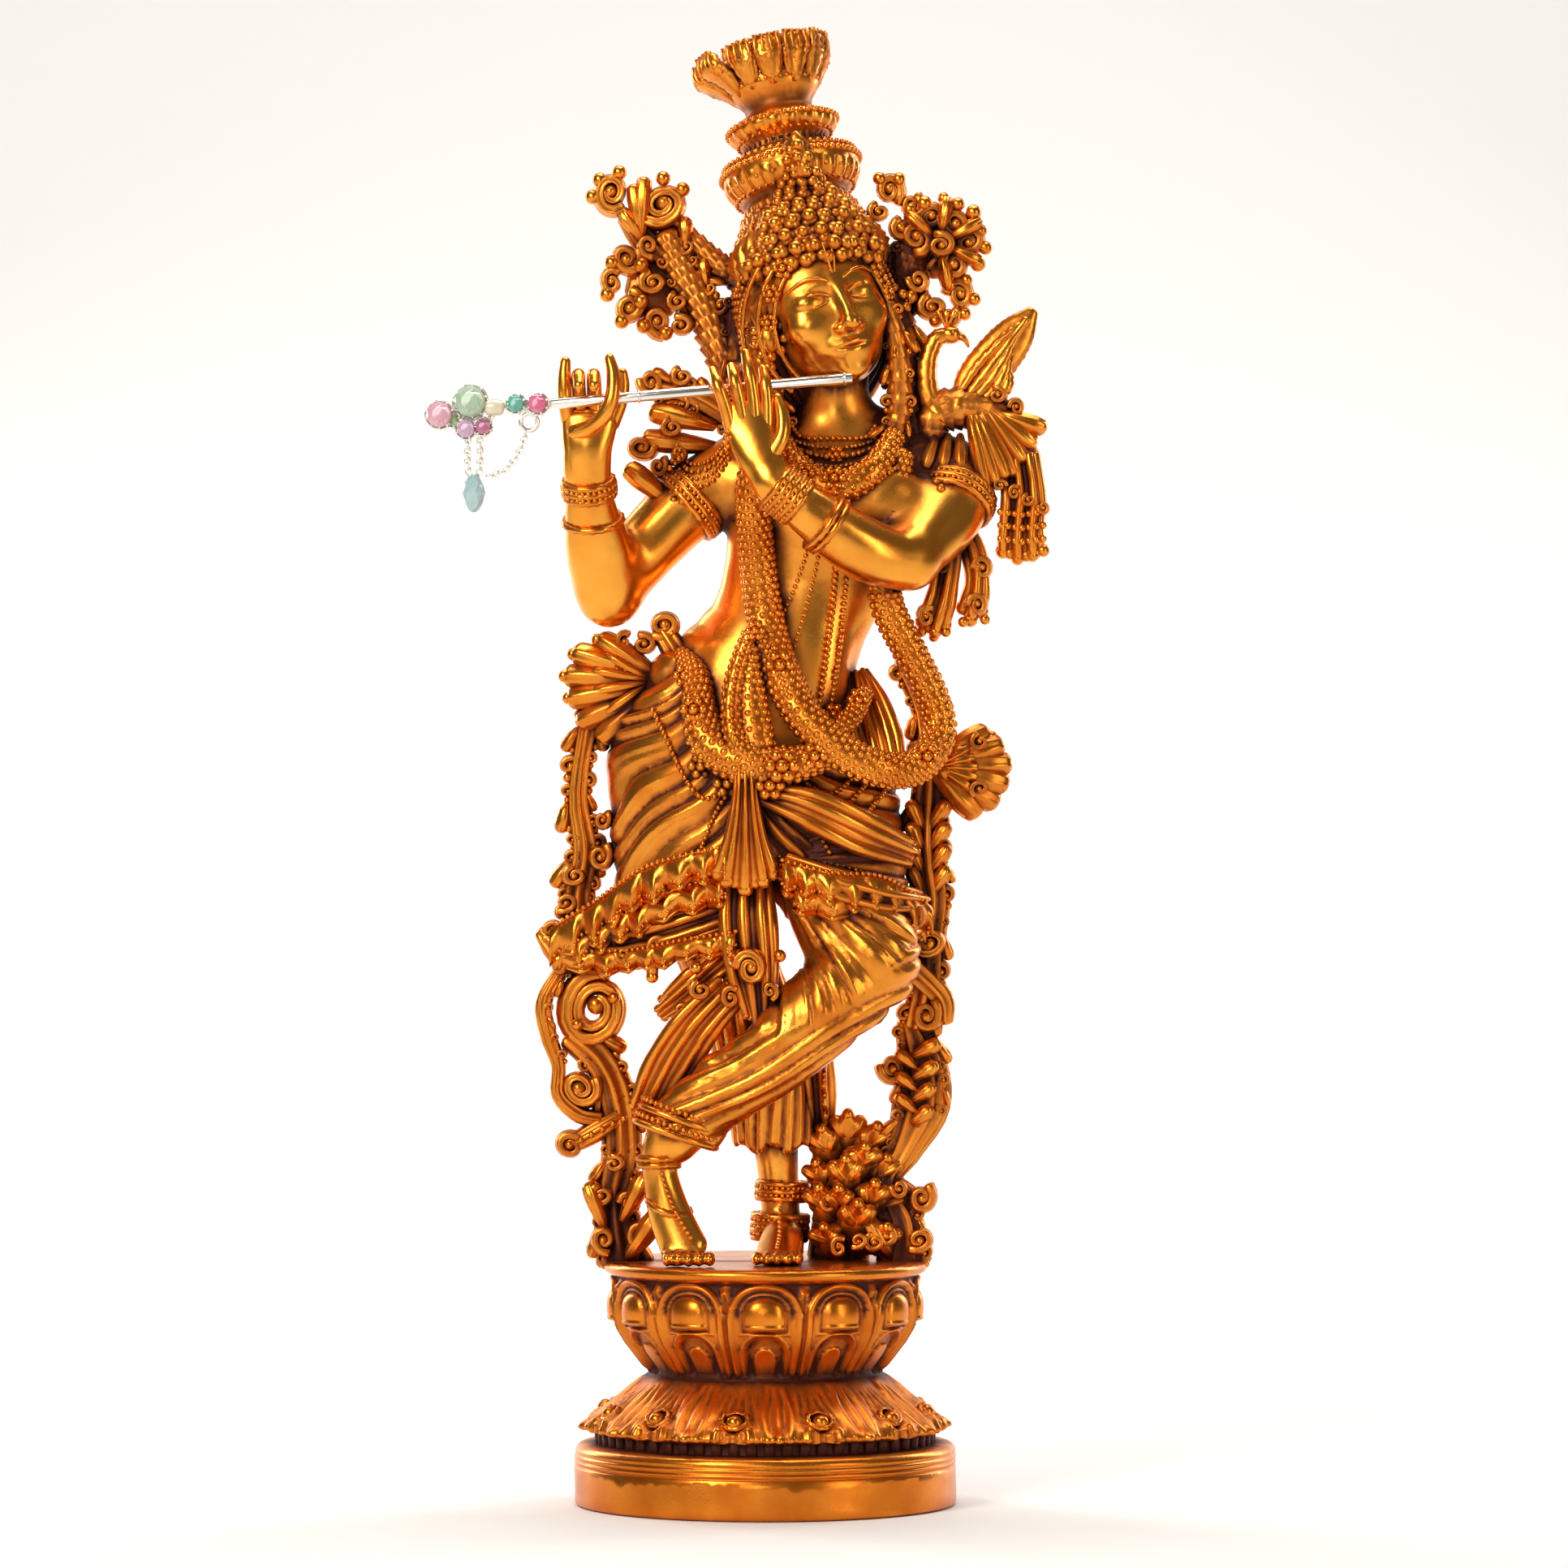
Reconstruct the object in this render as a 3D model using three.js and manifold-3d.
// A cast brass figure of Krishna playing a flute, cross-legged on a double lotus plinth.
// The frame: millimetres, +Z up, the figure faces -Y, +X is to the viewer's right,
// and the origin is the middle of the plinth's underside.
import * as THREE from "three";
import { mergeVertices } from "three/addons/utils/BufferGeometryUtils.js";
import Module from "manifold-3d";

const wasm = await Module();
wasm.setup();

// Driving dimensions of the figure
const figureHeight = 508; // from the plinth's top to the tips of the crown
const poseHeight = 508; // the height that the pose points below are written for
const pose = figureHeight / poseHeight;

// Driving dimensions of the plinth
const slabRadius = 78;
const slabHeight = 25;
const skirtHeight = 25; // the lower lotus, petals down
const bowlHeight = 50; // the upper lotus, petals up
const waistRadius = 49;
const bowlRadius = 61;
const discRadius = 66; // the disc that the figure stands on
const discThickness = 5;
const petalCount = 12;
const plinthHeight = slabHeight + skirtHeight + bowlHeight;

// Driving dimensions of the flute and what hangs on it
const fluteDiameter = 2.2;
const fluteClearance = 0.3; // around the flute in its bore through the hands
const gemGap = 0.3; // between a stone, a ring or a link and what it hangs on or sits in
const stoneDepth = 0.6; // a stone's depth, as a share of its width
const mountThickness = 2.2; // the metal behind each stone
const barDiameter = 3.4; // the bar that carries the stones
const ringRadius = 3.4;
const ringThickness = 2;
const linkSpacing = 3.6;
const linkWidth = 4.2;
const dropLength = 15.2;
const dropDiameter = 9;

// Working values
const PICTURE_DEPTH = new THREE.Vector3(0, 1, 0);
const UPWARD = new THREE.Vector3(0, 0, 1);
const FRONT = -Math.PI / 2;
const sliver = 0.02; // the area under which a facet is only a crossing's leftover
const mostTurn = 0.3; // the least cosine between a facet's old and new facing
const facetSlack = 1.3; // how far the casting's facets may leave the crossing forms
const petalSlack = 0.5; // the same for the petals' facets
const roomy = 10; // how far a cutting tool runs past what it cuts

// Solids, joined and cut from closed three.js geometry

/** A list split into rows of three. */
const triples = (list) =>
  Array.from({ length: list.length / 3 }, (_, i) => [...list.slice(3 * i, 3 * i + 3)]);

/** A closed geometry as a solid, with its faces turned outwards. */
function solid(geometry) {
  const bare = new THREE.BufferGeometry();
  bare.setAttribute("position", geometry.getAttribute("position"));
  bare.setIndex(geometry.index);
  const merged = mergeVertices(bare, 1e-4);
  const points = triples(merged.attributes.position.array).map((point) => new THREE.Vector3(...point));
  const faces = triples(merged.index.array).filter(([a, b, c]) => a !== b && b !== c && c !== a);
  const volume = faces
    .map(([a, b, c]) => points[a].dot(points[b].clone().cross(points[c])))
    .reduce((sum, share) => sum + share, 0);
  return facetedSolid(points, volume < 0 ? faces.map(([a, b, c]) => [a, c, b]) : faces);
}

const facetedSolid = (points, faces) =>
  new wasm.Manifold(
    new wasm.Mesh({
      numProp: 3,
      vertProperties: new Float32Array(points.flatMap((point) => point.toArray())),
      triVerts: new Uint32Array(faces.flat()),
    }),
  );

const join = (geometries) => wasm.Manifold.union(geometries.flat(Infinity).map(solid));

/** A casting without the sealed hollows that its crossing forms leave inside it. */
const filled = (body) => wasm.Manifold.union(body.decompose().filter((shell) => shell.volume() > 0));

/** The same solid in fewer facets: an edge is drawn together into one point wherever that point
 *  stays within `slack` of every facet that it stands for, and no facet turns over. */
function coarsened(body, slack) {
  const { vertProperties, triVerts } = body.getMesh();
  const points = triples(vertProperties).map((point) => new THREE.Vector3(...point));
  let faces = triples(triVerts);
  const corners = (face) => face.map((v) => points[v]);
  const normal = (triple) => new THREE.Triangle(...triple).getNormal(new THREE.Vector3());
  const planes = points.map(() => []);
  for (const face of faces) {
    const plane = new THREE.Plane().setFromCoplanarPoints(...corners(face));
    if (plane.normal.lengthSq() > 0.5) face.forEach((v) => planes[v].push(plane));
  }
  const stray = (point, ends) =>
    Math.max(...ends.flatMap((v) => planes[v]).map((plane) => Math.abs(plane.distanceToPoint(point))));
  for (let drawn = 1; drawn > 0; ) {
    drawn = 0;
    const around = points.map(() => []);
    for (const face of faces) face.forEach((v) => around[v].push(face));
    const edges = [];
    for (const face of faces) {
      face.forEach((a, k) => {
        const b = face[(k + 1) % 3];
        if (a > b) return;
        const middle = points[a].clone().lerp(points[b], 0.5);
        const choice = (point) => ({ a, b, point, off: stray(point, [a, b]) });
        const choices = [points[a], points[b], middle].map(choice);
        const best = choices.reduce((one, other) => (other.off < one.off ? other : one));
        if (best.off <= slack) edges.push(best);
      });
    }
    edges.sort((one, other) => one.off - other.off);
    const settled = new Set();
    for (const { a, b, point } of edges) {
      if (settled.has(a) || settled.has(b)) continue;
      const [near, far] = [a, b].map((v) => new Set(around[v].flat()));
      if ([...near].filter((v) => far.has(v)).length !== 4) continue;
      const kept = [...around[a], ...around[b]].filter((face) => !(face.includes(a) && face.includes(b)));
      const turnsOver = kept.some((face) => {
        if (new THREE.Triangle(...corners(face)).getArea() < sliver) return false;
        const after = face.map((v) => (v === a || v === b ? point : points[v]));
        return normal(corners(face)).dot(normal(after)) < mostTurn;
      });
      if (turnsOver) continue;
      points[a] = point.clone();
      planes[a] = [...new Set([...planes[a], ...planes[b]])];
      for (const face of around[b]) face[face.indexOf(b)] = a;
      [...near, ...far].forEach((v) => settled.add(v));
      drawn += 1;
    }
    faces = faces.filter(([p, q, r]) => p !== q && q !== r && r !== p);
  }
  const used = [...new Set(faces.flat())];
  const renumbered = new Map(used.map((v, i) => [v, i]));
  const left = faces.map((face) => face.map((v) => renumbered.get(v)));
  return facetedSolid(used.map((v) => points[v]), left);
}

/** A solid as a named mesh. */
function mesh(name, body, colour, { roughness = 0.3, metalness = 1 } = {}) {
  const { vertProperties, triVerts } = body.getMesh();
  const geometry = new THREE.BufferGeometry();
  geometry.setAttribute("position", new THREE.BufferAttribute(vertProperties, 3));
  geometry.setIndex(new THREE.BufferAttribute(triVerts, 1));
  geometry.computeVertexNormals();
  const material = new THREE.MeshStandardMaterial({ color: colour, roughness, metalness });
  const made = new THREE.Mesh(geometry, material);
  made.name = name;
  return made;
}

// The forms that the figure is built from

/** A rounded body along a smooth path, whose rows are [x, y, z, half width, half depth].
 *  It is a sphere whose rings are carried along the path. `depth` is where the section's depth points.
 *  `pleat` is how far every other edge stands proud of its neighbours, as a share of the section. */
function limb(rows, { sides = 5, pleat = 0, depth = PICTURE_DEPTH } = {}) {
  const rings = rows.length + 1;
  const curve = (pick) => {
    const points = rows.map((row) => new THREE.Vector3(...pick(row)));
    return new THREE.CatmullRomCurve3(points, false, "catmullrom");
  };
  const spine = curve(([x, y, z]) => [x, y, z]);
  const girth = curve(([, , , wide, deep]) => [wide, deep, 0]);
  const geometry = new THREE.SphereGeometry(1, sides, rings);
  const position = geometry.attributes.position;
  const fullness = 1 / Math.sqrt(Math.cos(Math.PI / Math.max(4, sides)));
  for (let ring = 0; ring <= rings; ring++) {
    const t = Math.min(1, Math.max(0, (ring - 1) / (rings - 2)));
    const along = spine.getTangent(t);
    const back = depth.clone().addScaledVector(along, -depth.dot(along)).normalize();
    const aside = new THREE.Vector3().crossVectors(back, along);
    const { x: wide, y: deep } = girth.getPoint(t);
    const pole = ring === 0 ? -1 : ring === rings ? 1 : 0;
    const centre = spine.getPoint(t).addScaledVector(along, 0.5 * pole * Math.min(wide, deep));
    for (let side = 0; side <= sides; side++) {
      const angle = (2 * Math.PI * ((side % sides) + 0.5)) / sides;
      const reach = pole ? 0 : fullness + (side % 2 ? pleat : -pleat);
      const at = centre
        .clone()
        .addScaledVector(aside, wide * reach * Math.cos(angle))
        .addScaledVector(back, deep * reach * Math.sin(angle));
      position.setXYZ(ring * (sides + 1) + side, at.x, at.y, at.z);
    }
  }
  return geometry;
}

/** A form turned about the upright axis, from rows of [radius, height]. */
function turned(outline, sides) {
  const profile = outline.map(([radius, height]) => new THREE.Vector2(radius, height));
  return new THREE.LatheGeometry(profile, sides).rotateX(Math.PI / 2);
}

/** An egg shape with half axes rx, ry and rz. */
function egg([x, y, z], [rx, ry, rz], sides = 8, rings = 6) {
  const geometry = new THREE.SphereGeometry(1, sides, rings);
  geometry.rotateX(Math.PI / 2);
  geometry.scale(rx, ry, rz);
  return geometry.translate(x, y, z);
}

const bead = (at, radius) => egg(at, [radius, radius, radius], 5, 4);

/** The turn that lays a geometry built along its own Y axis along a direction. */
const layAlong = (direction) =>
  new THREE.Quaternion().setFromUnitVectors(PICTURE_DEPTH, direction.clone().normalize());

/** A short round cuff about an axis, such as a bracelet. */
function cuff([x, y, z], axis, radius, width, sides = 8) {
  const geometry = new THREE.CylinderGeometry(radius, radius, width, sides);
  return geometry.applyQuaternion(layAlong(new THREE.Vector3(...axis))).translate(x, y, z);
}

/** A round rod of a diameter between two points. */
function rod(from, to, diameter, sides = 8) {
  const run = to.clone().sub(from);
  const middle = from.clone().add(to).multiplyScalar(0.5);
  const geometry = new THREE.CylinderGeometry(diameter / 2, diameter / 2, run.length(), sides);
  return geometry.applyQuaternion(layAlong(run)).translate(...middle.toArray());
}

/** A scroll: a tapering stem that winds inwards in the picture plane, round an eye. */
function scroll([x, y, z], radius, { turns = 1, start = 0, hand = 1, deep = 4, bends = 5 } = {}) {
  const steps = Math.round(bends * turns);
  const rows = Array.from({ length: steps + 1 }, (_, i) => {
    const wound = i / steps;
    const angle = start + hand * turns * 2 * Math.PI * wound;
    const reach = radius * (0.76 - 0.36 * wound);
    const thick = radius * (0.3 - 0.08 * wound);
    return [x + reach * Math.cos(angle), y, z + reach * Math.sin(angle), thick, deep];
  });
  return [limb(rows, { sides: 4 }), egg([x, y, z], [0.42 * radius, 0.9 * deep, 0.42 * radius], 5, 3)];
}

/** A flat leaf from its root to its tip, its edge towards the viewer's left and right. */
function leaf(root, tip, width, deep = 2.5, sides = 4) {
  const at = (share) => root.map((v, i) => v + (tip[i] - v) * share);
  return limb(
    [
      [...at(0), 0.45 * width, deep],
      [...at(0.55), width, deep],
      [...at(1), 0.25 * width, 0.4 * deep],
    ],
    { sides },
  );
}

// The figure: the pose points are in millimetres above the plinth's top, for poseHeight

const torsoRows = [
  [-6, 2, 183, 47, 29],
  [-7, 2, 205, 56, 32],
  [-3, 1, 230, 45, 28],
  [8, 0, 257, 32, 21],
  [18, -1, 285, 36, 23],
  [26, -2, 310, 43, 25],
  [31, 0, 329, 41, 21],
  [28, 1, 342, 20, 15],
];

function torso() {
  const neck = [
    [27, 1, 334, 16, 14],
    [28, -2, 352, 14, 13],
    [29, -3, 370, 15, 14],
  ];
  return [limb(torsoRows, { sides: 12 }), limb(neck, { sides: 8 })];
}

/** The place of a form made about its own origin: yaw turns its front towards +X, pitch leans it back
 *  and roll leans it towards -X, in degrees and in that order, before it is moved. */
function placing(at, { roll, pitch, yaw }) {
  const radians = THREE.MathUtils.degToRad;
  const turned = new THREE.Euler(radians(-pitch), radians(-roll), radians(yaw), "YXZ");
  return new THREE.Matrix4().makeRotationFromEuler(turned).setPosition(...at);
}

const headPose = placing([28, -5, 388], { roll: 8, pitch: 0, yaw: 20 });
const crownPose = placing([19, 1, 405], { roll: 11, pitch: 12, yaw: 0 });

/** The head, built upright about its own middle, then turned, tilted and set on the neck. */
function head() {
  const nose = [
    [0, -23, 6, 1.6, 2],
    [0, -26.5, -1, 2.4, 2.6],
    [0, -27.5, -6, 3.8, 3],
  ];
  const lips = egg([0, -22, -13.5], [5.2, 3.4, 2.4], 6, 3);
  const chin = egg([0, -19, -23], [5, 4, 4], 6, 4);
  const sides = [-1, 1].flatMap((side) => {
    const brow = [
      [3 * side, -23.5, 7, 1, 1.4],
      [9 * side, -22.5, 8.6, 1, 1.4],
      [14 * side, -18, 6.5, 0.7, 1],
    ];
    return [egg([8.5 * side, -21, 1.5], [4.4, 2.6, 1.8], 6, 3), limb(brow, { sides: 3 })];
  });
  const skull = egg([0, 0, 1], [23.5, 25, 28], 10, 8);
  const jaw = egg([0, -7, -17], [14, 15, 11], 8, 5);
  const forms = [skull, jaw, limb(nose, { sides: 4, depth: UPWARD }), lips, chin, ...sides];
  return forms.map((form) => form.applyMatrix4(headPose));
}

/** The hood of the crown, which covers the head and the hair and is open over the face. */
function hood() {
  const shell = egg([20, 3, 394], [34, 31, 38], 12, 8);
  const opening = new THREE.CylinderGeometry(1, 1, 1, 12);
  opening.scale(23.5, 60, 33);
  opening.translate(0, -30 - 4, -12);
  opening.applyMatrix4(headPose);
  return solid(shell.scale(pose, pose, pose)).subtract(solid(opening.scale(pose, pose, pose)));
}

/** The tall tiered crown: a dome, two beaded collars, a flared cup of feathers and a crest in front. */
function crown() {
  const tiers = [
    [0, 3],
    [28, 3],
    [32.5, 8],
    [31, 14],
    [25, 24],
    [21, 32],
    [27, 37],
    [28.5, 42],
    [23, 47],
    [16.5, 51],
    [20, 55],
    [22, 59],
    [16.5, 63],
    [13.5, 68],
    [17, 74],
    [22, 79],
    [20, 88],
    [0, 86],
  ];
  const feathers = 8;
  const cup = Array.from({ length: feathers }, (_, i) => {
    const angle = (2 * Math.PI * i) / feathers;
    const outward = new THREE.Vector3(Math.cos(angle), Math.sin(angle), 0);
    const rows = [
      [15, 75, 7, 4],
      [22, 88, 10, 4],
      [24, 101, 8, 2.5],
    ].map(([radius, ...rest]) => [radius * outward.x, radius * outward.y, ...rest]);
    return limb(rows, { sides: 4, depth: outward });
  });
  const crest = [
    [3, -31, 6, 9, 4],
    [4, -29, 20, 10, 5],
    [5, -25, 32, 7, 5],
    [5, -27, 43, 3, 3],
  ];
  return [turned(tiers, 12), ...cup, limb(crest)].map((form) => form.applyMatrix4(crownPose));
}

const armRows = {
  rightUpper: [
    [-8, 3, 330, 13, 14],
    [-28, 0, 314, 15, 15],
    [-48, -5, 294, 15, 14],
    [-64, -11, 275, 14, 13],
  ],
  rightFore: [
    [-64, -12, 272, 12, 12],
    [-67, -20, 288, 15, 13],
    [-71, -32, 308, 11, 10],
    [-72, -41, 326, 8.5, 7],
  ],
  leftUpper: [
    [68, 3, 330, 13, 13],
    [80, 0, 322, 15, 15],
    [74, -12, 305, 15, 14],
    [60, -27, 290, 14, 14],
  ],
  leftFore: [
    [58, -32, 286, 13, 13],
    [40, -42, 291, 13.5, 12],
    [18, -50, 306, 10.5, 9.5],
    [2, -51, 318, 7.5, 6.5],
  ],
};

/** A hand: a palm, four fingers that rise from its knuckles and a thumb. */
function hand(palm, fingers, thumb) {
  return [
    limb(palm, { sides: 6 }),
    ...[...fingers, thumb].map((rows) => limb(rows, { sides: 4 })),
  ];
}

function arms() {
  const right = hand(
    [[-72, -41, 324, 8.5, 6.5], [-72, -44, 336, 10, 6.5], [-72, -44, 347, 12, 5]],
    [
      [[-81, -44, 346, 2.6, 2.8], [-82, -47, 358, 2.4, 2.4], [-82, -47, 369, 1.8, 1.8]],
      [[-75.5, -44, 347, 2.6, 2.8], [-76, -52, 356, 2.4, 2.6], [-75, -56, 351, 2, 2]],
      [[-69.5, -44, 347, 2.6, 2.8], [-69, -52, 357, 2.4, 2.6], [-69, -56, 351, 2, 2]],
      [[-63.5, -44, 346, 2.6, 2.8], [-61, -48, 358, 2.6, 2.6], [-64, -48, 370, 2, 2]],
    ],
    [[-63, -45, 333, 3.4, 3.4], [-59, -52, 341, 2.8, 2.8], [-63, -55, 349, 2.2, 2.2]],
  );
  const left = hand(
    [[3, -51, 317, 7.5, 6.5], [-4, -50, 331, 9.5, 6], [-9, -47, 346, 10.5, 4.5]],
    [-16.5, -11.8, -7, -2.2].map((x, i) => [
      [x, -46, 345, 2.5, 2.8],
      [x - 1, -46, 358, 2.4, 2.4],
      [x - 1 + i, -43, 368 + (i % 3), 1.8, 1.8],
    ]),
    [[2, -52, 329, 3, 3], [6, -50, 340, 2.6, 2.6], [4, -47, 351, 2, 2]],
  );
  const bracelets = [
    cuff([-71, -35, 314], [-0.1, -0.5, 1], 12.5, 3.5),
    cuff([-72, -40, 323], [-0.1, -0.5, 1], 10.5, 3.5),
    cuff([8, -51, 314], [-1, -0.1, 0.75], 10, 3.5),
    cuff([22, -49, 303], [-1, -0.2, 0.75], 12.5, 3.5),
    cuff([-26, 1, 316], [-1, -0.2, -0.9], 17.5, 9),
    cuff([74, -10, 308], [-0.5, -0.6, -1], 17, 8),
  ];
  return [
    ...Object.values(armRows).map((rows) => limb(rows, { sides: 8 })),
    right,
    left,
    ...bracelets,
  ];
}

const standingLeg = [
  [-30, 6, 190, 28, 26],
  [-25, 4, 160, 25, 24],
  [-18, 1, 132, 19, 20],
  [-10, -1, 110, 16, 17],
  [-1, 5, 82, 14, 15],
  [4, 8, 50, 10, 11],
  [6, 9, 24, 8.5, 9],
  [7, 8, 8, 9, 10],
];
const crossingThigh = [
  [14, 0, 190, 30, 28],
  [30, -12, 158, 25, 24],
  [41, -26, 124, 19, 18],
];
const crossingShin = [
  [43, -27, 124, 17, 17],
  [24, -34, 104, 16, 15],
  [2, -37, 84, 13.5, 13],
  [-20, -36, 66, 10.5, 10],
  [-35, -35, 49, 8, 8],
];

/** The legs: the standing one, and the one that crosses before it on the tips of its toes. */
function legs() {
  const standingFoot = [
    [7, 10, 8, 8, 9],
    [7, -6, 9, 9, 9],
    [6, -22, 5, 10.5, 6],
    [5, -32, 3, 9, 3.5],
  ];
  const tiptoeFoot = [
    [-36, -33, 50, 8, 9],
    [-37, -31, 36, 8, 9],
    [-33, -36, 18, 9.5, 6],
    [-29, -41, 3, 10, 5.5],
  ];
  const toes = [-2, -1, 0, 1, 2].flatMap((i) => [
    egg([5 + 4 * i, -37 + Math.abs(i), 2.2], [2.2, 5, 2.6], 5, 3),
    egg([-29.5 + 3.8 * i, -45 + Math.abs(i), 3], [2.2, 5, 2.6], 5, 3),
  ]);
  return [
    limb(standingLeg, { sides: 9 }),
    limb(crossingThigh, { sides: 9 }),
    limb(crossingShin, { sides: 9 }),
    limb(standingFoot, { sides: 6, depth: UPWARD }),
    limb(tiptoeFoot, { sides: 6 }),
    ...toes,
    cuff([6, 9, 19], [0.1, 0, 1], 11.5, 9),
    cuff([-34, -35, 50], [-0.5, 0, -1], 10, 5),
  ];
}

/** A point on the cloth round the hips, at an angle from the front and a height. */
function onHips(angle, height, proud = 0) {
  const rows = torsoRows;
  const above = Math.max(1, rows.findIndex((r) => r[2] >= height));
  const [low, high] = [rows[above - 1], rows[above]];
  const share = Math.min(1, Math.max(0, (height - low[2]) / (high[2] - low[2])));
  const [x, y, , wide, deep] = low.map((v, i) => v + (high[i] - v) * share);
  return [x + (wide + proud) * Math.sin(angle), y - (deep + proud) * Math.cos(angle), height];
}

/** The pleated cloth round the hips and thighs, and the folds that fan out from the girdle's knot. */
function hipCloth() {
  const cloth = [
    [-6, 2, 207, 52, 30],
    [-5, 1, 188, 56, 33],
    [-3, -1, 168, 57, 35],
    [-2, -2, 152, 56, 34],
  ];
  const folds = [limb(cloth, { sides: 24, pleat: 0.05 })];
  for (const side of [-1, 1]) {
    for (let i = 0; i < 5; i++) {
      const [from, to] = [206 - 3 * i, 226 - 13 * i];
      const rows = [0.12, 0.75, 1.45].map((angle, k) => [
        ...onHips(side * angle, from + ((to - from) * k) / 2 - 2 * (k % 2), 2),
        4,
        3.6,
      ]);
      folds.push(limb(rows, { sides: 4 }));
    }
  }
  return folds;
}

const pleated = { sides: 8, pleat: 0.14 };

/** The pleated panels that hang before the legs, and the flying hems beside them. */
function hangings() {
  const panels = [
    limb(
      [
        [-8, -33, 200, 7, 5],
        [-8, -36, 178, 8, 5],
        [-8, -37, 160, 13, 4.5],
        [-8, -36, 154, 12, 3],
      ],
      pleated,
    ),
    limb(
      [
        [-7, -24, 160, 9, 8],
        [-6, -32, 132, 11, 5],
        [-4, -36, 112, 12, 4.5],
        [-3, -38, 98, 6, 3],
      ],
      pleated,
    ),
    limb(
      [
        [-14, -24, 162, 7, 4],
        [-34, -22, 150, 12, 5],
        [-52, -12, 140, 12, 5],
        [-66, -4, 134, 8, 4],
      ],
      pleated,
    ),
    limb(
      [
        [6, -34, 160, 6, 4],
        [26, -38, 154, 9, 5],
        [44, -32, 148, 10, 5],
        [62, -14, 146, 6, 4],
      ],
      pleated,
    ),
    limb([[-42, -10, 190, 14, 10], [-48, -8, 168, 13, 9], [-40, -16, 158, 8, 6]], pleated),
    limb([[20, -30, 185, 24, 8], [34, -33, 168, 18, 7], [40, -33, 158, 10, 5]], pleated),
    limb([[30, -14, 118, 8, 6], [16, -12, 96, 8, 6], [20, 2, 66, 6, 6], [22, 6, 54, 4, 4]]),
    limb(
      [
        [-18, -14, 112, 12, 8],
        [-36, -16, 92, 9, 5],
        [-50, -14, 76, 8, 4],
        [-56, -8, 62, 6, 4],
      ],
      pleated,
    ),
  ];
  const curls = [
    scroll([60, -20, 141], 6.5, { start: 2, hand: -1 }),
    scroll([-44, -15, 127], 6, { start: 1 }),
    scroll([-5, -37, 121], 6, { start: 3, hand: -1, deep: 5 }),
  ];
  return [...panels, ...curls];
}

/** The long flower garland, the shorter one on the chest and the girdle. */
function garlands() {
  const garland = [
    [2, -30, 336, 5, 5],
    [-4, -34, 318, 5.5, 5],
    [-5, -29, 300, 6, 5],
    [0, -26, 270, 7, 5],
    [12, -31, 232, 7.5, 5],
    [28, -37, 208, 7, 5],
    [48, -37, 202, 6.5, 5],
    [64, -28, 205, 6.5, 5],
    [70, -20, 220, 6, 5],
    [60, -20, 246, 6, 5],
    [50, -24, 272, 6.5, 5],
    [54, -24, 300, 5.5, 5],
    [54, -18, 330, 5, 5],
  ];
  const collar = [
    [4, -20, 338, 4, 4],
    [14, -27, 318, 6, 5],
    [28, -30, 306, 7, 5],
    [44, -28, 314, 6, 5],
    [54, -18, 336, 4, 4],
  ];
  const girdle = [
    [-36, -20, 236, 4, 4],
    [-30, -30, 218, 5.5, 5],
    [-14, -36, 204, 7, 6],
    [6, -36, 203, 7, 6],
    [26, -33, 214, 5.5, 5],
    [38, -24, 230, 4, 4],
  ];
  return [
    limb(garland),
    limb(collar),
    limb(girdle),
    egg([-4, -40, 203], [10, 5, 8], 8, 5),
  ];
}

/** The scarf's fall at the viewer's left: leaves, ribbon and scrolls down to the plinth. */
function leftFall() {
  const fanTips = [
    [-79, 2, 247],
    [-81, 2, 237],
    [-79, 2, 227],
    [-73, 2, 217],
  ];
  return [
    ...fanTips.map((tip) => leaf([-50, 0, 234], tip, 5, 4)),
    scroll([-41, -2, 260], 6.5, { start: 4 }),
    leaf([-46, -2, 240], [-42, -2, 258], 4, 4),
    bead([-69, 1, 250], 4.5),
    limb([
      [-70, 3, 232, 7, 6],
      [-76, 3, 210, 4.5, 6],
      [-77, 4, 186, 5, 6],
      [-73, 4, 166, 8, 6],
      [-77, 4, 148, 7, 6],
      [-75, 3, 134, 8, 6],
    ]),
    scroll([-67, 0, 165], 6.5, { start: 1, hand: -1 }),
    bead([-83, 2, 148], 4),
    limb([[-89, 1, 134, 3, 4], [-82, -1, 125, 6, 6], [-66, -5, 124, 6, 6], [-46, -12, 132, 5, 5]]),
    scroll([-70, 0, 103], 19, { turns: 1.5, start: 1.3, deep: 6, bends: 9 }),
    limb([
      [-80, 2, 92, 5, 5],
      [-68, 2, 82, 7, 6],
      [-61, 2, 66, 8, 6],
      [-57, 2, 46, 8, 7],
      [-61, 2, 28, 7, 7],
      [-60, 1, 12, 8, 8],
      [-58, 0, -3, 9, 8],
    ]),
    scroll([-76, 1, 69], 8.5, { start: 0.5, hand: -1 }),
    limb([[-62, 2, 58, 5, 5], [-72, 2, 52, 6, 6], [-79, 2, 47, 5.5, 6]]),
    scroll([-66, -2, 27], 6, { start: 2 }),
    scroll([-65, -2, 8], 6, { start: 5, hand: -1 }),
    leaf([-56, -4, 2], [-46, -8, 18], 6, 4),
  ];
}

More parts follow.
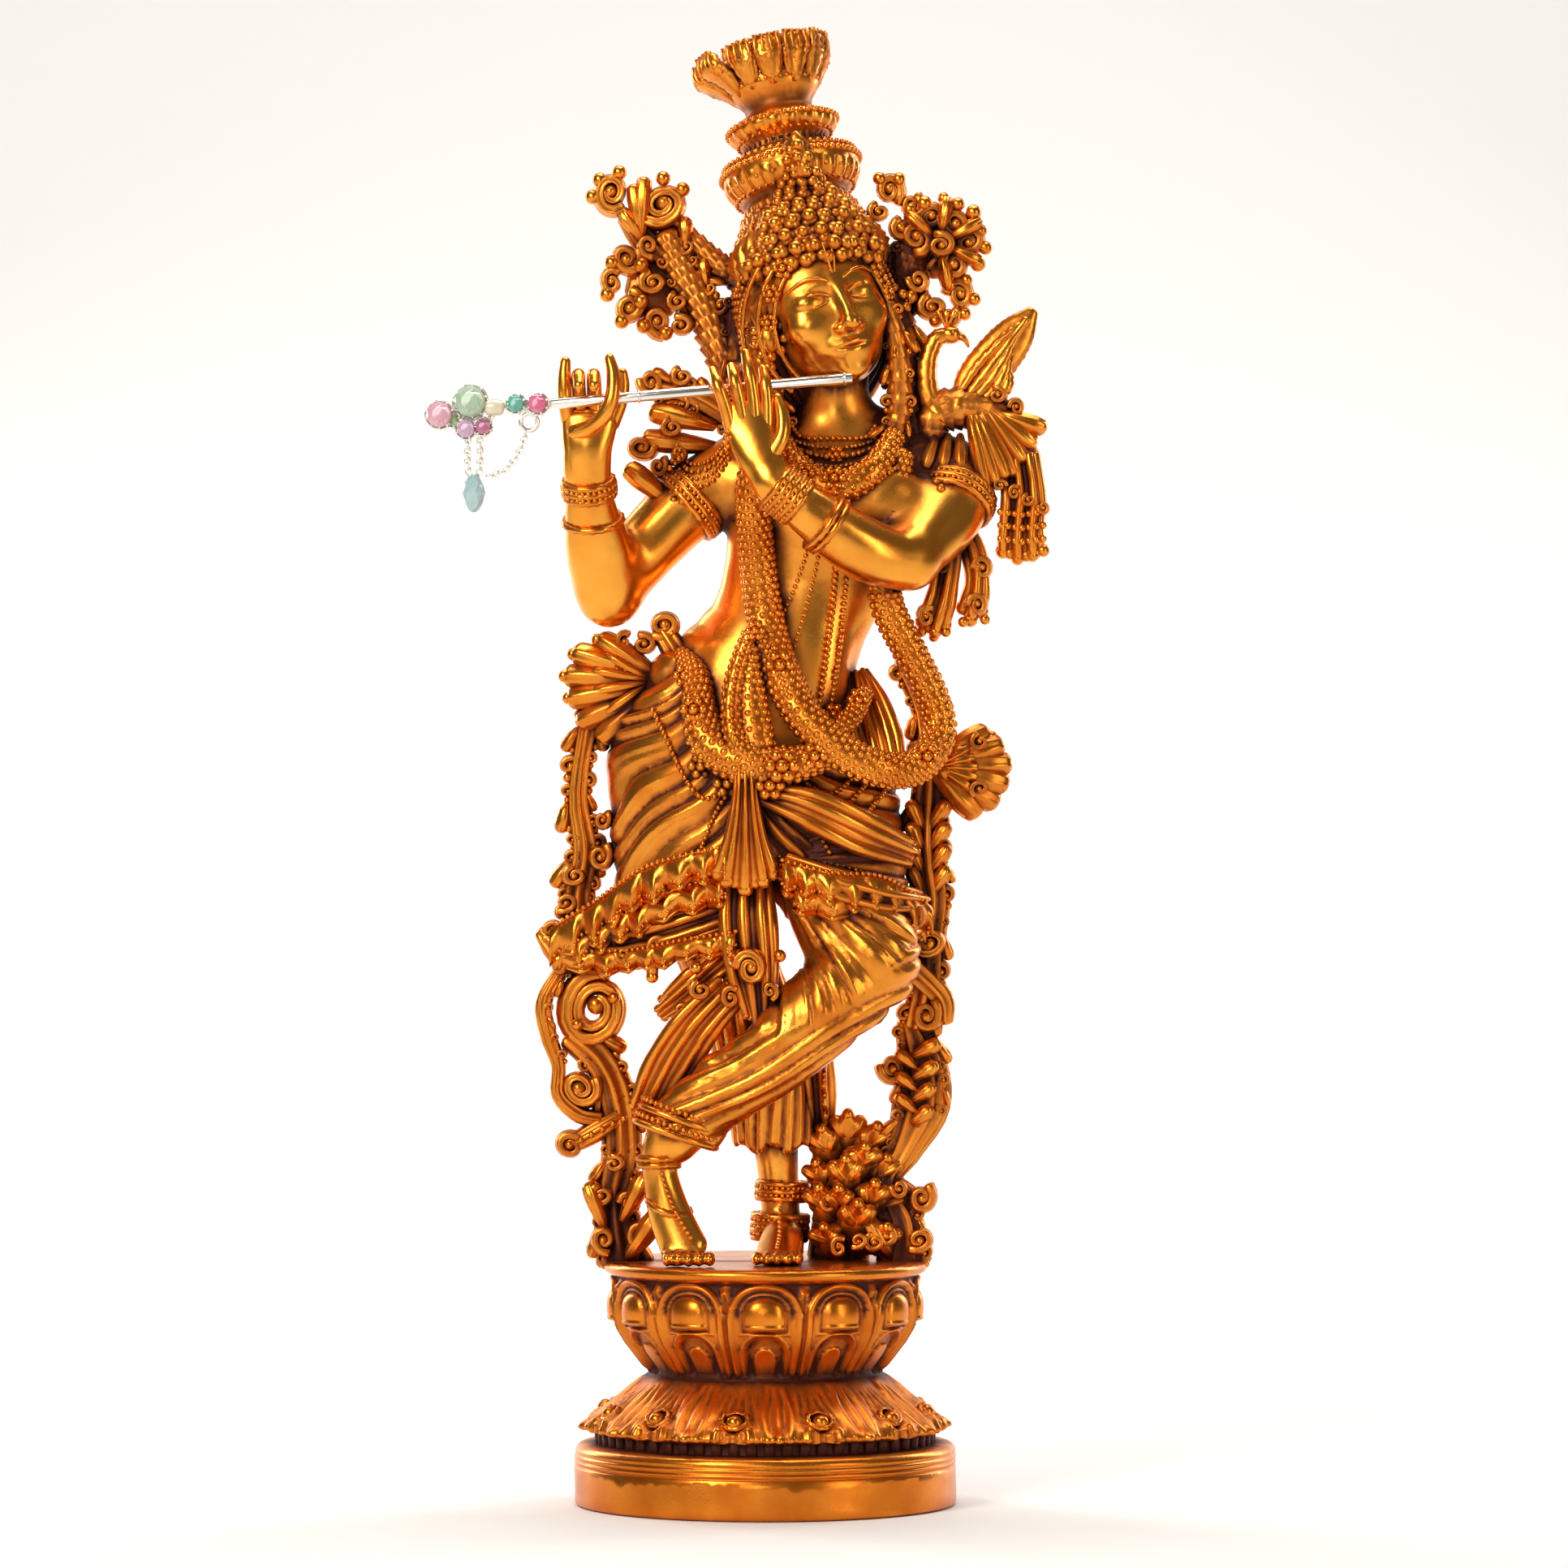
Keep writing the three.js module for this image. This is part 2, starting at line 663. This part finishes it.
/** The scarf's fall at the viewer's right, with the fan that stands out from the hip. */
function rightFall() {
  const fan = [0.62, 0.3, 0, -0.32, -0.66].map((angle) =>
    leaf([70, 0, 201], [74 + 27 * Math.cos(angle), -2, 199 + 25 * Math.sin(angle)], 5.5, 4),
  );
  return [
    scroll([60, 0, 246], 7, { start: 4, hand: -1 }),
    bead([71, 1, 224], 4),
    limb([
      [58, 3, 244, 5, 5],
      [66, 4, 226, 5, 6],
      [69, 2, 208, 8, 8],
      [67, 2, 184, 9, 8],
      [66, 1, 164, 10, 8],
      [68, 1, 148, 9, 8],
      [66, 0, 130, 8, 7],
      [65, 0, 112, 8, 7],
      [62, 1, 96, 6, 6],
    ]),
    ...fan,
    bead([75, 0, 178], 4.5),
    scroll([66, -4, 131], 9, { start: 2, deep: 5 }),
    limb([[50, -14, 126, 4, 5], [60, -6, 116, 5, 5], [73, 0, 106, 4, 5]]),
    scroll([66, -1, 101], 7.5, { start: 1, hand: -1 }),
    limb([
      [60, 2, 98, 6, 6],
      [64, 2, 80, 11, 7],
      [63, 2, 60, 11, 7],
      [56, 2, 44, 7, 6],
      [50, 2, 30, 6, 6],
      [57, 1, 16, 9, 8],
      [57, 0, -3, 10, 8],
    ]),
    scroll([53, 0, 78], 5.5, { start: 3 }),
    scroll([63, -3, 26], 7, { start: 1, hand: -1 }),
    scroll([62, -4, 8], 6, { start: 4 }),
    leaf([52, -4, 2], [42, -8, 16], 6, 4),
  ];
}

/** The flying ends of the scarf beside the head and over the shoulders. */
function flourishes() {
  return [
    limb([
      [-8, 8, 352, 8, 6],
      [-16, 7, 370, 9, 6],
      [-27, 6, 392, 11, 5],
      [-39, 5, 412, 12, 5],
      [-46, 4, 424, 8, 5],
    ]),
    limb([[-6, 8, 400, 8, 5], [-22, 7, 408, 7, 5], [-37, 6, 424, 4, 4]]),
    scroll([-42, 4, 435], 11, { start: 4.4, turns: 1.3 }),
    bead([-44, 4, 444], 3.6),
    limb([[-46, 5, 420, 5, 4], [-58, 5, 425, 5, 4], [-65, 5, 438, 5, 4]]),
    scroll([-65, 3, 443], 7, { start: 4 }),
    scroll([-55, 4, 411], 7.5, { start: 0.6, hand: -1 }),
    scroll([-52, 4, 392], 7, { start: 1.4, hand: -1 }),
    leaf([-34, 5, 402], [-56, 4, 392], 5, 3),
    limb([[-12, 4, 348, 7, 5], [-30, 3, 357, 6, 5], [-46, 2, 360, 5, 5]]),
    scroll([-47, 1, 361], 6.5, { start: 3 }),
    leaf([-22, 2, 336], [-50, -3, 334], 6, 5),
    scroll([-50, -4, 331], 6.5, { start: 0, hand: -1 }),
    leaf([-40, -4, 312], [-56, -12, 322], 5, 4),
    limb([[42, 8, 372, 8, 7], [52, 8, 390, 12, 6], [58, 7, 410, 14, 5], [66, 7, 424, 13, 5]]),
    leaf([57, 7, 408], [50, 5, 440], 5, 4),
    scroll([50, 5, 441], 7, { start: 5 }),
    leaf([58, 6, 420], [62, 5, 444], 6, 4),
    leaf([64, 6, 420], [74, 5, 441], 5, 4),
    scroll([81, 5, 419], 12, { start: 2.4, hand: -1, turns: 1.3 }),
    scroll([70, 4, 402], 7, { start: 1 }),
    leaf([66, 5, 400], [80, 4, 392], 5, 4),
    limb([[50, 4, 392, 7, 8], [55, 3, 366, 8, 9], [57, 2, 346, 9, 10], [62, 2, 330, 12, 12]]),
    limb([[-10, 6, 392, 7, 8], [-8, 6, 366, 7, 8], [-4, 5, 344, 8, 8]]),
    limb([[72, -4, 306, 8, 7], [78, -6, 288, 8, 6], [75, -7, 272, 8, 6], [69, -7, 260, 6, 5]], pleated),
    scroll([86, -5, 283], 5.5, { start: 3, hand: -1 }),
    scroll([83, -5, 269], 5.5, { start: 3, hand: -1 }),
  ];
}

/** The peacock on the shoulder at the viewer's right, looking back over its raised wing. */
function peacock() {
  return [
    limb([
      [66, -3, 338, 7, 7],
      [69, -4, 350, 9, 8],
      [82, -4, 353, 10, 9],
      [94, -3, 349, 9, 8],
      [104, -2, 340, 9, 7],
      [108, -2, 330, 8, 6],
    ]),
    limb([
      [69, -4, 350, 6, 6],
      [67, -5, 364, 4.2, 4.2],
      [69, -5, 375, 3.4, 3.4],
      [75, -5, 380, 3.2, 3.2],
      [79, -5, 377, 1.4, 1.4],
    ]),
    egg([74.5, -5, 380], [4.2, 3.6, 3.6], 7, 5),
    leaf([74, -5, 382], [75, -5, 390], 2, 1.5, 5),
    limb([[82, -4, 354, 6, 4], [90, -4, 366, 11, 4], [100, -3, 379, 9, 3], [110, -2, 389, 2.5, 2]]),
    limb(
      [
        [103, -2, 342, 9, 7],
        [105, -2, 326, 11, 7],
        [105, -2, 308, 11, 6],
        [106, -2, 294, 10, 4.5],
      ],
      pleated,
    ),
    leaf([92, -7, 346], [92, -8, 316], 5, 3),
    bead([109, -2, 291], 4.2),
  ];
}

/** The leafy stump beside the standing leg. */
function stump() {
  const leaves = [
    [[30, 8, 36], [24, 4, 54]],
    [[34, 8, 38], [35, 6, 60]],
    [[36, 8, 34], [47, 4, 49]],
    [[36, 6, 16], [48, 0, 30]],
    [[30, 2, 10], [24, -4, 26]],
    [[38, 2, 6], [47, -6, 14]],
  ];
  return [
    limb([[30, 12, -3, 12, 10], [32, 12, 20, 10, 8], [34, 11, 42, 8, 7]]),
    ...leaves.map(([root, tip]) => leaf(root, tip, 6, 4)),
  ];
}

// The flute and its end ornament, in the same points as the pose

const mouthEnd = new THREE.Vector3(35, -38, 360.6).multiplyScalar(pose);
const farEnd = new THREE.Vector3(-104, -55, 347.5).multiplyScalar(pose);
const fluteAlong = farEnd.clone().sub(mouthEnd).normalize();

function figure() {
  const forms = [
    torso(),
    head(),
    crown(),
    arms(),
    legs(),
    hipCloth(),
    hangings(),
    garlands(),
    leftFall(),
    rightFall(),
    flourishes(),
    peacock(),
    stump(),
  ].flat(Infinity);
  forms.forEach((form) => form.scale(pose, pose, pose));
  const underPlinthTop = new THREE.BoxGeometry(4 * slabRadius, 4 * slabRadius, 2 * roomy);
  underPlinthTop.translate(0, 0, -roomy);
  const past = fluteAlong.clone().multiplyScalar(roomy);
  const boreDiameter = fluteDiameter + 2 * fluteClearance;
  const bore = rod(mouthEnd.clone().sub(past), farEnd.clone().add(past), boreDiameter);
  const cast = coarsened(join(forms).add(hood()), facetSlack);
  return filled(cast.subtract(solid(underPlinthTop)).subtract(solid(bore)));
}

// The plinth

/** Each row is a share of a lotus's height, and how far a petal stands proud there:
 *  over its panel, along its frame and in the furrow at its edge. */
const bowlPetals = [
  [0, [0, 0, 0]],
  [0.12, [1.6, 2.2, -0.8]],
  [0.38, [2.2, 2.6, -1.2]],
  [0.46, [-0.6, 2.6, -1.4]],
  [0.53, [2.2, 2.6, -1.4]],
  [0.7, [2.2, 2.4, -1.6]],
  [0.78, [-0.6, 1.8, -1.8]],
  [0.88, [2.6, 0, -2]],
];
const skirtPetals = [
  [0.08, [0, 0, 0]],
  [0.14, [-2, -2, -2]],
  [0.24, [1.6, -1.8, 1.4]],
  [0.42, [3, -1.2, 2.2]],
  [0.72, [2.4, -0.4, 1]],
];
const petalShares = [0.44, 0.82, 1]; // where those stand, as shares of a petal's half width
const petalColumns = [-1, -0.82, -0.44, 0.44, 0.82];

/** Both lotuses as one turned form, whose wall swells out into petals. */
function lotuses() {
  const waist = slabHeight + skirtHeight;
  const skirtRadius = (share) => waistRadius + (slabRadius - 4 - waistRadius) * (1 - share) ** 1.15;
  const swell = (share) => Math.sin((Math.min(1, share / 0.62) * Math.PI) / 2);
  const bowlRadiusAt = (share) => waistRadius + (bowlRadius - waistRadius) * swell(share);
  const flat = [0, 0, 0];
  const outline = [
    [0, 0.6 * slabHeight, flat],
    [waistRadius, 0.6 * slabHeight, flat],
    ...skirtPetals.map(([share, proud]) => [skirtRadius(share), slabHeight + share * skirtHeight, proud]),
    ...bowlPetals.map(([share, proud]) => [bowlRadiusAt(share), waist + share * bowlHeight, proud]),
    [0, waist + 0.96 * bowlHeight, flat],
  ];
  const columns = petalColumns.length * petalCount;
  const geometry = turned(outline, columns);
  const position = geometry.attributes.position;
  for (let i = 0; i < position.count; i++) {
    const [radius, height, proud] = outline[i % outline.length];
    const column = Math.floor(i / outline.length) % columns;
    const across = petalColumns[column % petalColumns.length];
    const angle = FRONT + (2 * Math.floor(column / petalColumns.length) + across) * (Math.PI / petalCount);
    const reach = radius && radius + proud[petalShares.indexOf(Math.abs(across))];
    position.setXYZ(i, reach * Math.cos(angle), reach * Math.sin(angle), height);
  }
  return coarsened(solid(geometry), petalSlack);
}

/** The plinth: a round slab with a stepped edge, the two lotuses and the disc that the figure stands on. */
function plinth() {
  const step = slabHeight / 10;
  const slab = [
    [0, 0],
    [slabRadius - 0.4 * step, 0],
    [slabRadius, 0.4 * step],
    [slabRadius, 5.6 * step],
    [slabRadius - 0.4 * step, 6 * step],
    [slabRadius - 0.4 * step, 9 * step],
    [slabRadius - 1.2 * step, slabHeight],
    [0, slabHeight],
  ];
  const disc = [
    [0, plinthHeight - discThickness],
    [bowlRadius, plinthHeight - discThickness],
    [discRadius, plinthHeight - 0.7 * discThickness],
    [discRadius, plinthHeight],
    [0, plinthHeight],
  ];
  return join([turned(slab, 3 * petalCount), turned(disc, 3 * petalCount)]).add(lotuses());
}

// The ornament on the flute's far end, with its stones and chains, about the middle of its largest stone

const settingAt = farEnd.clone().add(new THREE.Vector3(-14.8, -2, 2.3));
const bySetting = (x, y, z) => settingAt.clone().add(new THREE.Vector3(x, y, z));

/** A stone: its mount's middle plane is `behind` the setting's, and the stone sits in front of it. */
function stone(x, z, radius, colour, behind = 0) {
  const middle = bySetting(x, behind, z);
  const forward = mountThickness / 2 + gemGap + stoneDepth * radius;
  return { middle, radius, colour, at: middle.clone().sub(new THREE.Vector3(0, forward, 0)) };
}

const stones = {
  green_stone: stone(0, 0, 6.4, 0x9fc4a4),
  pink_end_stone: stone(-12.4, -5.3, 5.2, 0xe9a9bd),
  leaf_stone: stone(-6.6, -7.6, 2.4, 0x6f9a4c),
  lilac_stone: stone(-1.7, -10.9, 3.7, 0xcf9fc4),
  magenta_stone: stone(5.2, -10.1, 3.1, 0xa9407a),
  cream_stone: stone(9.8, -2.5, 3.2, 0xf0dfae),
  teal_stone: stone(18.2, -0.8, 3.4, 0x2fae8c, 1),
  rose_stone: stone(27, -0.8, 3.8, 0xe0487c, 2),
};
const ringAt = bySetting(23.6, 2, -4.6 - ringRadius);

function flute() {
  const mounts = Object.values(stones).map(({ middle, radius }) =>
    new THREE.CylinderGeometry(0.8 * radius, radius, mountThickness, 7).translate(...middle.toArray()),
  );
  const offTheBar = ["pink_end_stone", "leaf_stone", "lilac_stone", "magenta_stone", "cream_stone"];
  const arms = offTheBar.map((name) => rod(settingAt, stones[name].middle, 0.7 * barDiameter, 4));
  const hanger = rod(settingAt, hangerEnd, 0.7 * barDiameter, 4);
  const tube = rod(mouthEnd, farEnd, fluteDiameter);
  const bar = rod(bySetting(27, 2, -1), settingAt, barDiameter, 6);
  return join([tube, bar, mounts, arms, hanger]);
}

/** The ring that the hanging chain is fastened to, fused to the flute's bar. */
function ring() {
  const torus = new THREE.TorusGeometry(ringRadius, ringThickness / 2, 5, 9);
  return torus.rotateX(Math.PI / 2).translate(...ringAt.toArray());
}

const gem = ({ at, radius }) => egg(at.toArray(), [radius, stoneDepth * radius, radius], 7, 4);

/** Chain links along a path, each fused to the next. */
function links(path) {
  const count = Math.round(path.getLength() / linkSpacing);
  const at = (i) => path.getPointAt(i / count).toArray();
  const half = [linkWidth / 2, 0.3 * linkWidth, 0.62 * linkSpacing];
  return Array.from({ length: count + 1 }, (_, i) => egg(at(i), half, 4, 3));
}

const reach = 0.62 * linkSpacing; // from a link's middle to its end
const swag = new THREE.CatmullRomCurve3([
  ringAt.clone().add(new THREE.Vector3(-1.6, 0, -ringRadius - ringThickness / 2 - gemGap - reach)),
  bySetting(18.6, 2, -21.5),
  bySetting(13.6, 2, -27.5),
  bySetting(8.6, 2, -29),
]);
const hangerEnd = bySetting(2, 0, -14);
const strands = [-1, 1].map((side) => {
  const from = hangerEnd.clone().add(new THREE.Vector3(0.42 * linkWidth * side, 0, -1 - gemGap - reach));
  return new THREE.LineCurve3(from, from.clone().add(new THREE.Vector3(0, 0, -2.6 * linkSpacing)));
});

/** The long faceted bead at the end of the hanging chain. */
function drop() {
  const top = strands[0].getPointAt(1).lerp(strands[1].getPointAt(1), 0.5);
  const outline = [
    [0, 0],
    [0.2, 0.02],
    [0.5, 0.42],
    [0.46, 0.7],
    [0.16, 0.98],
    [0, 1],
  ].map(([share, down]) => [share * dropDiameter, -down * dropLength]);
  return turned(outline, 7).translate(top.x, top.y, top.z - reach - gemGap);
}

// The whole object

const brass = 0xc07a1e;
const silver = 0xc9c3b4;

const krishna = new THREE.Group();
const onPlinth = new THREE.Group();
onPlinth.position.z = plinthHeight;
krishna.add(mesh("lotus_plinth", plinth(), brass), onPlinth);
onPlinth.add(mesh("krishna_figure", figure(), brass));
onPlinth.add(mesh("flute", flute(), silver, { roughness: 0.2 }));
for (const [name, stone] of Object.entries(stones)) {
  onPlinth.add(mesh(name, join([gem(stone)]), stone.colour, { roughness: 0.08, metalness: 0 }));
}
onPlinth.add(mesh("chain_ring", join([ring()]), silver));
onPlinth.add(mesh("swag_chain", join(links(swag)), silver));
onPlinth.add(mesh("drop_chain", join(strands.map(links)), silver));
onPlinth.add(mesh("drop_bead", join([drop()]), 0x9fc6c8, { roughness: 0.08, metalness: 0 }));

export default krishna;
